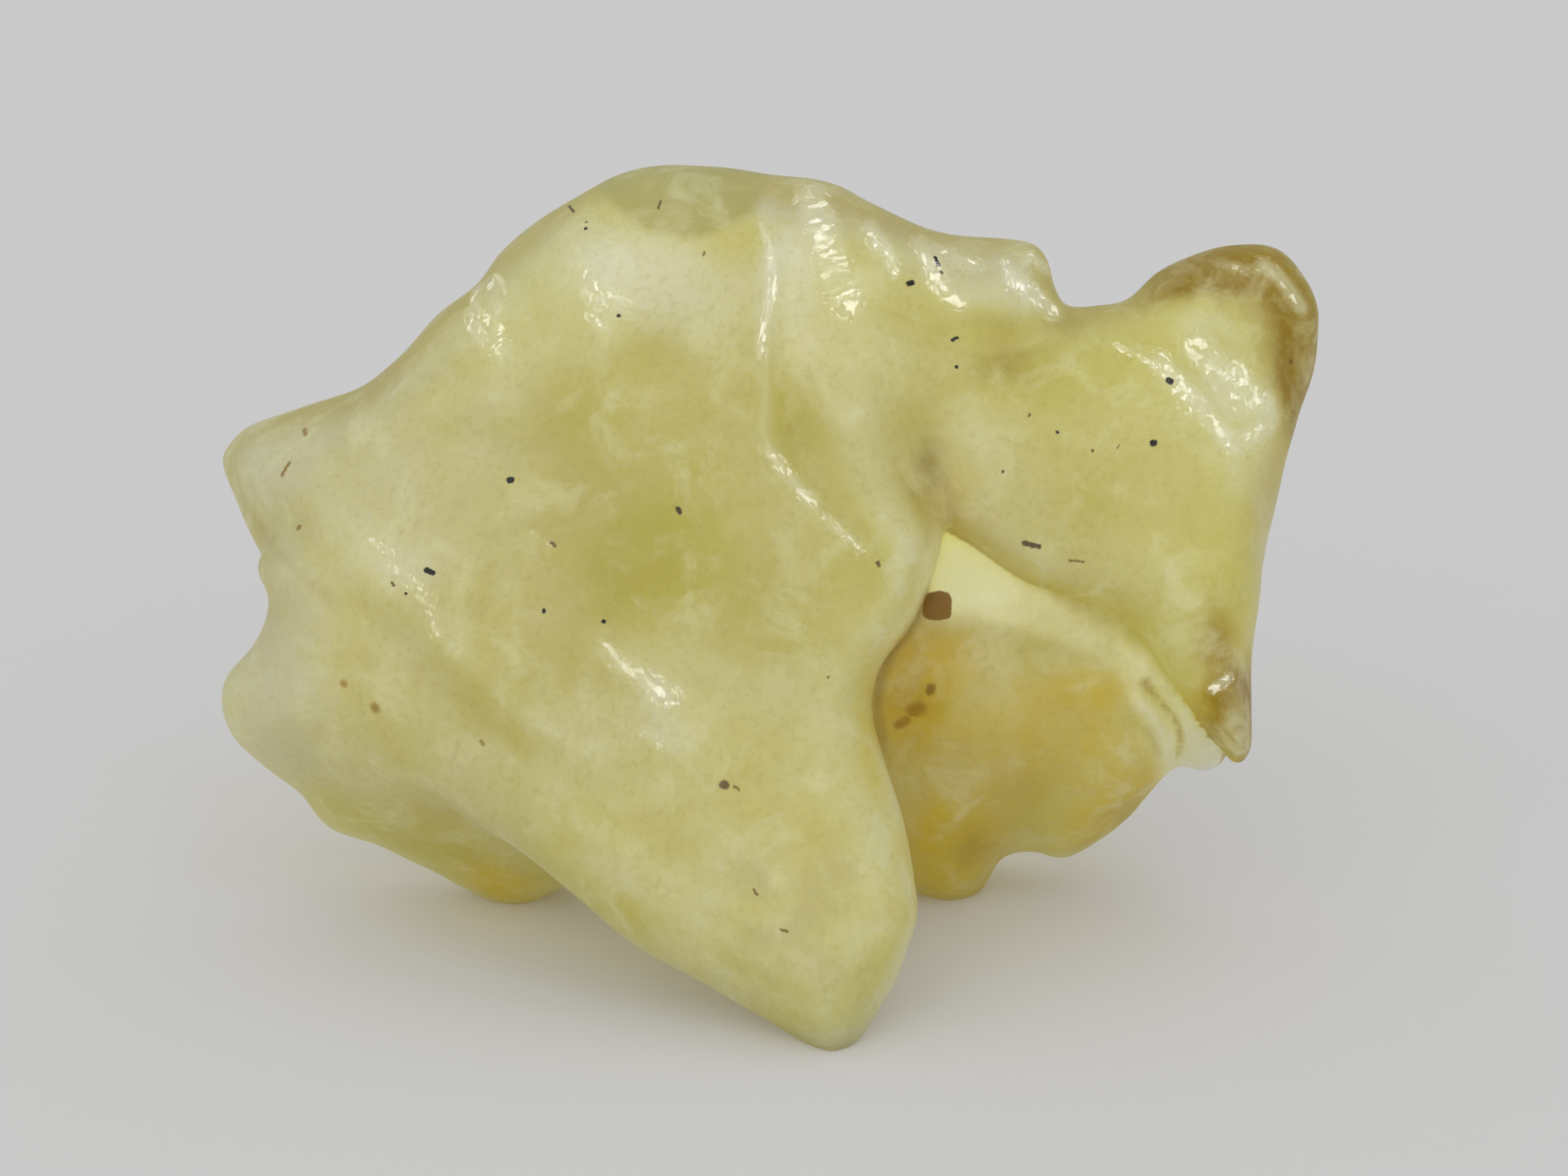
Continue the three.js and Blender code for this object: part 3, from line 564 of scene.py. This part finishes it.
# Dark grains caught in the glass: two ends on the face (u, v), half width, and tone, from 0
# for nearly black to 1 for brown. Each square of the mesh carries the grain nearest to it.
GRAINS = [
    ((-9.75, 3.82), (-9.67, 3.82), 0.11, 0.0), ((-12.66, 0.62), (-12.44, 0.54), 0.10, 0.0),
    ((-3.72, 2.78), (-3.66, 2.68), 0.09, 0.1), ((-8.20, 1.62), (-8.08, 1.50), 0.07, 0.4),
    ((-8.43, -0.81), (-8.43, -0.83), 0.07, 0.0), ((-6.33, -1.17), (-6.31, -1.18), 0.07, 0.0),
    ((-2.08, -6.78), (-2.02, -6.80), 0.15, 0.3), ((-1.72, -6.84), (-1.55, -6.95), 0.05, 0.6),
    ((8.56, 1.60), (9.08, 1.48), 0.09, 0.2), ((10.20, 0.98), (10.72, 0.94), 0.04, 0.5),
    ((13.72, 7.40), (13.78, 7.36), 0.12, 0.0), ((13.16, 5.18), (13.22, 5.18), 0.11, 0.0),
    ((18.36, 8.22), (18.38, 8.18), 0.08, 0.3), ((4.45, 10.86), (4.60, 10.90), 0.10, 0.0),
    ((5.42, 11.84), (5.52, 11.54), 0.08, 0.0), ((5.58, 11.30), (5.66, 11.26), 0.06, 0.2),
    ((6.02, 8.88), (6.20, 8.96), 0.06, 0.0), ((6.15, 7.91), (6.19, 7.91), 0.06, 0.0),
    ((7.79, 4.15), (7.81, 4.15), 0.05, 0.2), ((9.76, 5.56), (9.78, 5.56), 0.06, 0.0),
    ((8.74, 6.14), (8.78, 6.20), 0.05, 0.3), ((11.0, 4.90), (11.02, 4.90), 0.05, 0.3),
    ((-14.57, -4.24), (-14.53, -4.30), 0.16, 0.9), ((-15.7, -3.4), (-15.66, -3.42), 0.12, 1.0),
    ((-17.52, 5.80), (-17.44, 5.60), 0.09, 0.7), ((-18.22, 4.10), (-17.98, 4.52), 0.08, 0.6),
    ((-17.51, 2.19), (-17.46, 2.16), 0.10, 0.7), ((-7.86, 13.96), (-7.62, 13.64), 0.05, 0.1),
    ((-7.15, 12.96), (-7.13, 12.94), 0.07, 0.0), ((-7.14, 13.22), (-7.12, 13.20), 0.05, 0.3),
    ((-4.44, 13.92), (-4.52, 13.66), 0.05, 0.3), ((-2.86, 12.00), (-2.88, 11.92), 0.05, 0.5),
    ((-5.90, 9.70), (-5.88, 9.70), 0.07, 0.0), ((-1.05, -10.32), (-0.92, -10.50), 0.05, 0.5),
    ((-0.10, -11.68), (0.10, -11.74), 0.05, 0.4), ((3.28, 0.90), (3.32, 0.80), 0.07, 0.3),
    ((-10.7, -5.4), (-10.6, -5.5), 0.07, 0.9), ((1.52, -3.1), (1.56, -3.1), 0.05, 0.5),
    ((5.30, -3.60), (5.26, -3.72), 0.16, 0.7), ((4.86, -4.36), (4.66, -4.44), 0.26, 1.0),
    ((4.40, -4.80), (4.16, -4.94), 0.18, 1.0), ((-13.9, 0.2), (-13.8, 0.1), 0.05, 0.3),
    ((-13.4, -0.2), (-13.38, -0.2), 0.05, 0.0), ((11.9, 5.0), (11.95, 5.1), 0.04, 0.5),
]
middles = skin[squares].mean(1)
across = skin[squares[:, 2]] - skin[squares[:, 0]]
facing = np.cross(across, skin[squares[:, 3]] - skin[squares[:, 1]])
towards = np.flatnonzero(facing[:, 2] > 0)
to_row = np.array([[1, 0, 0], [0, np.sin(LEAN), -np.cos(LEAN)], [0, np.cos(LEAN), np.sin(LEAN)]])


def on_face(point):
    """The place on the front of the skin over a point (u, v), from the plane of its square."""
    around, depth_of_front = 0.4, 1.2
    close = towards[np.hypot(*(middles[towards, :2] - point).T) < around]
    close = close[middles[close, 2] > middles[close, 2].max() - depth_of_front]
    nearest = close[np.hypot(*(middles[close, :2] - point).T).argmin()]
    lean = facing[nearest, :2] / facing[nearest, 2]
    return np.array([*point, middles[nearest, 2] - lean @ (point - middles[nearest, :2])])


def stand_up(point):
    """A place (u, v, w) in the leaned frame, in metres in the lump's own upright frame."""
    return (to_row @ point - foot) * fit / 1000


# Squares within 1.2 mm of a grain carry it, and all others a speck a metre away.
GRAIN_REACH = 1.2
nearest = np.full(len(squares), 1e9)
starts, ends = np.full((len(squares), 3), 1.0), np.full((len(squares), 3), 1.01)
widths, tones = np.full(len(squares), 1e-5), np.zeros(len(squares))
for start, end, width, tone in GRAINS:
    a, b = on_face(start), on_face(end)
    gap = np.linalg.norm(middles - (a + b) / 2, axis=1) - np.linalg.norm(b - a) / 2
    mine = (gap < nearest) & (gap < GRAIN_REACH)
    nearest[mine] = gap[mine]
    starts[mine], ends[mine] = stand_up(a), stand_up(b)
    widths[mine], tones[mine] = width / 1000, tone
for name, kind, value in [("grain_start", "vector", starts), ("grain_end", "vector", ends),
                          ("grain_width", "value", widths), ("grain_tone", "value", tones)]:
    attribute_kind = "FLOAT_VECTOR" if kind == "vector" else "FLOAT"
    carried = mesh.attributes.new(name, attribute_kind, "FACE")
    carried.data.foreach_set(kind, value.ravel())

lump = bpy.data.objects.new("desert_glass_lump", mesh)
scene.collection.objects.link(lump)

# The glass: cloudy silica glass that light soaks into, faintly see-through where it is thin.
glass_look = bpy.data.materials.new("cloudy_desert_glass")
glass_look.use_nodes = True
tree = glass_look.node_tree
tree.nodes.clear()


def add(kind, inputs=(), **settings):
    """A shader node with its settings, and its inputs as values or as other nodes' sockets."""
    made = tree.nodes.new(kind)
    for name, value in settings.items():
        setattr(made, name, value)
    for key, value in dict(inputs).items():
        if isinstance(value, bpy.types.NodeSocket):
            tree.links.new(value, made.inputs[key])
        else:
            made.inputs[key].default_value = value
    return made


def maths(operation, a, b=0.0, c=0.0):
    """A Math node's output."""
    return add("ShaderNodeMath", {0: a, 1: b, 2: c}, operation=operation).outputs[0]


def vector(operation, a, b=(0, 0, 0), scale=1.0):
    """A Vector Math node."""
    return add("ShaderNodeVectorMath", {0: a, 1: b, 3: scale}, operation=operation)


def attribute(name, output="Fac"):
    """A value that the mesh carries."""
    return add("ShaderNodeAttribute", attribute_name=name).outputs[output]


def noise(scale, detail=2.0, roughness=0.5, distortion=0.0):
    """Noise of that many lumps per millimetre, 0 to 1."""
    inputs = {"Vector": millimetres, "Scale": scale, "Detail": detail,
              "Roughness": roughness, "Distortion": distortion}
    return add("ShaderNodeTexNoise", inputs).outputs["Fac"]


def soften(value, low, high):
    """An S-shaped ramp from 0 at low to 1 at high."""
    inputs = {"Value": value, "From Min": low, "From Max": high}
    return add("ShaderNodeMapRange", inputs, interpolation_type="SMOOTHSTEP").outputs[0]


def tint(under, share, colour):
    """The colour under it, covered with another colour by a share."""
    return add("ShaderNodeMix", {0: share, 6: under, 7: colour}, data_type="RGBA").outputs[2]


def linear(red, green, blue):
    """The linear colour for screen values 0 to 255."""
    c = np.array([red, green, blue]) / 255
    c = np.where(c <= 0.04045, c / 12.92, ((c + 0.055) / 1.055) ** 2.4)
    return (*c, 1.0)


place = add("ShaderNodeTexCoord").outputs["Object"]
millimetres = vector("SCALE", place, scale=1000.0).outputs[0]
broad, middling, fine = noise(0.22, 2), noise(0.75, 5, 0.6), noise(3.2, 2, 0.6)
veils = noise(0.5, 4, 0.62, 0.6)


def cloud(name, raggedness=0.5):
    """One of the mesh's patches, its edge made ragged by the noise."""
    ragged = maths("MULTIPLY_ADD", maths("SUBTRACT", middling, 0.5), raggedness, attribute(name))
    return soften(ragged, 0.05, 0.95)


mark_x, mark_y, mark_share = add(
    "ShaderNodeSeparateXYZ", {0: attribute("polish", "Vector")}).outputs
colour = linear(200, 194, 137)
# each share of what lies beneath is covered with a colour, from the deepest to the outermost
for covered, shade in [
    (soften(broad, 0.35, 0.7), (192, 184, 110)),
    (cloud("moss"), (182, 174, 76)),
    (cloud("milk"), (215, 211, 182)),
    (cloud("grey"), (192, 187, 154)),
    # painted shade along the rim
    (maths("MULTIPLY", attribute("rim"), 0.7), (166, 148, 68)),
    # painted shade on the cap
    (maths("MULTIPLY", attribute("cap_shade"), 0.85), (162, 156, 98)),
    # painted highlight along the leg's right edge
    (maths("MULTIPLY", attribute("edge"), 0.7), (224, 220, 172)),
    (cloud("amber", 0.7), (202, 178, 58)),
    (cloud("brown", 0.6), (126, 100, 6)),
    # whitish veils and soft mottling inside the glass
    (maths("MULTIPLY", soften(veils, 0.45, 0.75), 0.5), (218, 215, 176)),
    (maths("MULTIPLY", soften(fine, 0.45, 0.8), 0.3), (168, 158, 78)),
    # the worn halo round the polished lines, in part a painted sheen round their glints
    (maths("MULTIPLY", soften(mark_share, 0.1, 0.9), 0.4), (222, 218, 184)),
    (cloud("cream", 0.7), (240, 234, 188)),
    # painted shade in the narrow seam lines
    (cloud("seam_shade", 0.3), (146, 124, 58)),
]:
    colour = tint(colour, covered, linear(*shade))
# the brown grain in the ledge, a rounded square 1 mm wide
BROWN_GRAIN, HALF_WIDTH, SQUARENESS = (5.49, -0.64), 0.52, 3.2
brown_place = tuple(stand_up(on_face(BROWN_GRAIN)))
off = vector("ABSOLUTE", vector("SUBTRACT", place, brown_place).outputs[0]).outputs[0]
off = vector("SCALE", off, scale=1000 / HALF_WIDTH).outputs[0]
off = vector("POWER", off, (SQUARENESS, SQUARENESS, SQUARENESS)).outputs[0]
off = vector("DOT_PRODUCT", off, (1, 0.6, 1)).outputs["Value"]
off = maths("MULTIPLY_ADD", maths("SUBTRACT", fine, 0.5), 0.8, off)
colour = tint(colour, soften(off, 1.25, 0.85), linear(142, 106, 0))
# the dark grains: each is what lies within its half width of its line, with a wobbly outline
wobble = add("ShaderNodeTexNoise", {"Vector": millimetres, "Scale": 9.0, "Detail": 1.0})
shift = vector("SUBTRACT", wobble.outputs["Color"], (0.5, 0.5, 0.5)).outputs[0]
wobbled = vector("ADD", place, vector("SCALE", shift, scale=0.00012).outputs[0]).outputs[0]
grain_start = attribute("grain_start", "Vector")
from_start = vector("SUBTRACT", wobbled, grain_start).outputs[0]
span = vector("SUBTRACT", attribute("grain_end", "Vector"), grain_start).outputs[0]
along_span = maths("DIVIDE", vector("DOT_PRODUCT", from_start, span).outputs["Value"],
                   vector("DOT_PRODUCT", span, span).outputs["Value"])
along_span = maths("MINIMUM", maths("MAXIMUM", along_span, 0.0), 1.0)
foot_point = vector("SCALE", span, scale=along_span).outputs[0]
off_line = vector("LENGTH", vector("SUBTRACT", from_start, foot_point).outputs[0])
reach = maths("DIVIDE", off_line.outputs["Value"], attribute("grain_width"))
# the browner it is, the fainter it is and the softer its edge
brownness = attribute("grain_tone")
grain = soften(reach, maths("MULTIPLY_ADD", brownness, 0.5, 1.2),
               maths("MULTIPLY_ADD", brownness, -0.45, 0.85))
grain = maths("MULTIPLY", grain, maths("MULTIPLY_ADD", brownness, -0.3, 1.0))
colour = tint(colour, grain, tint(linear(14, 12, 2), brownness, linear(150, 112, 10)))

# Frosted all over, with shallow undulations. Along the polished lines the wind has cut it into
# small flat facets, each square to the wind within a few degrees. The wind's y points out of
# the side it blows on, whichever that is.
WIND_X, WIND_Y, WIND_Z, FACET_TILT = 0.145, 0.82, 0.554, 0.22
flat_place = add("ShaderNodeCombineXYZ", {0: mark_x, 1: mark_y}).outputs[0]
stir = add("ShaderNodeTexNoise", {"Vector": millimetres, "Scale": 1.6, "Detail": 2.0}).outputs[1]
stir = vector("SUBTRACT", stir, (0.5, 0.5, 0.5)).outputs[0]
stir = vector("MULTIPLY", stir, (0.9, 0.9, 0)).outputs[0]
flat_place = vector("ADD", flat_place, stir).outputs[0]
chips = add("ShaderNodeTexVoronoi", {"Vector": flat_place, "Scale": 2.4},
            voronoi_dimensions="2D").outputs["Color"]
chip_tone = add("ShaderNodeSeparateXYZ", {0: chips}).outputs[0]
ragged = maths("MULTIPLY_ADD", maths("SUBTRACT", fine, 0.5), 0.9, mark_share)
ragged = maths("MULTIPLY_ADD", maths("SUBTRACT", chip_tone, 0.5), 0.8, ragged)
strength = maths("MULTIPLY", soften(ragged, 0.34, 0.5), soften(mark_share, 0.08, 0.25))
smooth = add("ShaderNodeTexCoord").outputs["Normal"]
_, back_or_front, _ = add("ShaderNodeSeparateXYZ", {0: smooth}).outputs
wind_y = maths("MULTIPLY", maths("SIGN", back_or_front), WIND_Y)
wind = add("ShaderNodeCombineXYZ", {0: WIND_X, 1: wind_y, 2: WIND_Z}).outputs[0]
tilt = vector("SCALE", chips, scale=FACET_TILT).outputs[0]
tilt = vector("SUBTRACT", tilt, (FACET_TILT / 2, FACET_TILT / 2, FACET_TILT / 2)).outputs[0]
flats = vector("ADD", tilt, wind).outputs[0]
turned = add("ShaderNodeMix", {0: maths("MULTIPLY", strength, 0.9), 4: smooth, 5: flats},
             data_type="VECTOR").outputs[1]
turned = add("ShaderNodeVectorTransform", {0: turned}, vector_type="NORMAL",
             convert_from="OBJECT", convert_to="WORLD").outputs[0]
turned = vector("NORMALIZE", turned).outputs[0]
left_rough = maths("MULTIPLY_ADD", soften(mark_share, 0.25, 0.6), -0.8, 1.0)
height = maths("MULTIPLY", maths("SUBTRACT", middling, 0.5), 1.6)
height = maths("MULTIPLY", height, left_rough)
bump = add("ShaderNodeBump", {"Height": height, "Strength": 1.0, "Distance": 0.0001,
                              "Normal": turned})
FROSTED, POLISHED = 0.42, 0.14
roughness = maths("MULTIPLY_ADD", strength, POLISHED - FROSTED, FROSTED)

surface = add("ShaderNodeBsdfPrincipled", {
    "Base Color": colour, "Roughness": roughness, "Normal": bump.outputs[0],
    "IOR": 1.46, "Transmission Weight": 0.15,
    "Subsurface Weight": 1.0, "Subsurface Radius": (1.0, 0.9, 0.5), "Subsurface Scale": 0.02,
})
inside = add("ShaderNodeVolumeAbsorption", {"Color": (0.93, 0.86, 0.45, 1), "Density": 100.0})
# much of the lamps' light goes on through it, tinted, so that its shadow glows
through = add("ShaderNodeBsdfTransparent", {"Color": (0.96, 0.95, 0.92, 1)})
to_lamp = add("ShaderNodeLightPath").outputs["Is Shadow Ray"]
lit = add("ShaderNodeMixShader", {0: to_lamp, 1: surface.outputs[0], 2: through.outputs[0]})
add("ShaderNodeOutputMaterial", {"Surface": lit.outputs[0], "Volume": inside.outputs[0]})
mesh.materials.append(glass_look)
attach(lump, "root")
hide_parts("desert_glass")


# ------------------------------------------------------------------ the floor
# A plain pale table top, matt, wide enough to fill the picture.
floor_mesh = bpy.data.meshes.new("floor_sheet")
floor_mesh.from_pydata([(-1.5, -1, 0), (1.5, -1, 0), (1.5, 2, 0), (-1.5, 2, 0)], [], [(0, 1, 2, 3)])
floor = bpy.data.objects.new("floor", floor_mesh)
scene.collection.objects.link(floor)
paint = bpy.data.materials.new("pale_matt")
paint.use_nodes = True
coat = paint.node_tree.nodes["Principled BSDF"]
coat.inputs["Base Color"].default_value = linear(222, 220, 219)
coat.inputs["Roughness"].default_value = 0.9
coat.inputs["Specular IOR Level"].default_value = 0.1
floor_mesh.materials.append(paint)


# ------------------------------------------------------------------ light
# An even, slightly cool surround and four soft lamps far away, which light the whole floor
# alike: a window high in front, small enough to glint in the polished lines, two broad ones in
# front, the second nearly level, and a very wide one overhead.
world = bpy.data.worlds.new("soft_room")
world.use_nodes = True
world.node_tree.nodes["Background"].inputs["Color"].default_value = (0.94, 0.97, 1.0, 1)
world.node_tree.nodes["Background"].inputs["Strength"].default_value = 0.42
scene.world = world

for name, comes_from, strength, spread, shade in [
    ("window", (0.27, -0.58, 0.77), 0.50, 13, (1.0, 0.99, 0.97)),
    ("broad", (-0.35, -0.80, 0.45), 0.60, 60, (1.0, 0.99, 0.97)),
    ("low", (0.15, -0.95, 0.12), 0.56, 80, (1.0, 0.98, 0.94)),
    ("sky", (0.0, -0.25, 0.97), 0.56, 170, (0.94, 0.97, 1.0)),
]:
    lamp = bpy.data.lights.new(name, "SUN")
    lamp.energy = strength
    lamp.angle = np.radians(spread)
    lamp.color = shade
    holder = bpy.data.objects.new(name, lamp)
    holder.rotation_euler = Vector(comes_from).to_track_quat("Z", "Y").to_euler()
    scene.collection.objects.link(holder)


# ------------------------------------------------------------------ camera
# It looks down 16 degrees, square on to the face, from about 156 mm away.
AWAY = 158.4 * fit
eye = bpy.data.cameras.new("camera")
eye.lens = 100
eye.sensor_width = 36
eye.clip_start = 0.01
camera = bpy.data.objects.new("camera", eye)
aim = Vector(-foot * fit / 1000)
camera.location = aim + Vector((0, -np.cos(LEAN), np.sin(LEAN))) * AWAY / 1000
camera.rotation_euler = (np.pi / 2 - LEAN, 0, 0)
scene.collection.objects.link(camera)
scene.camera = camera
scene.view_settings.view_transform = "Standard"
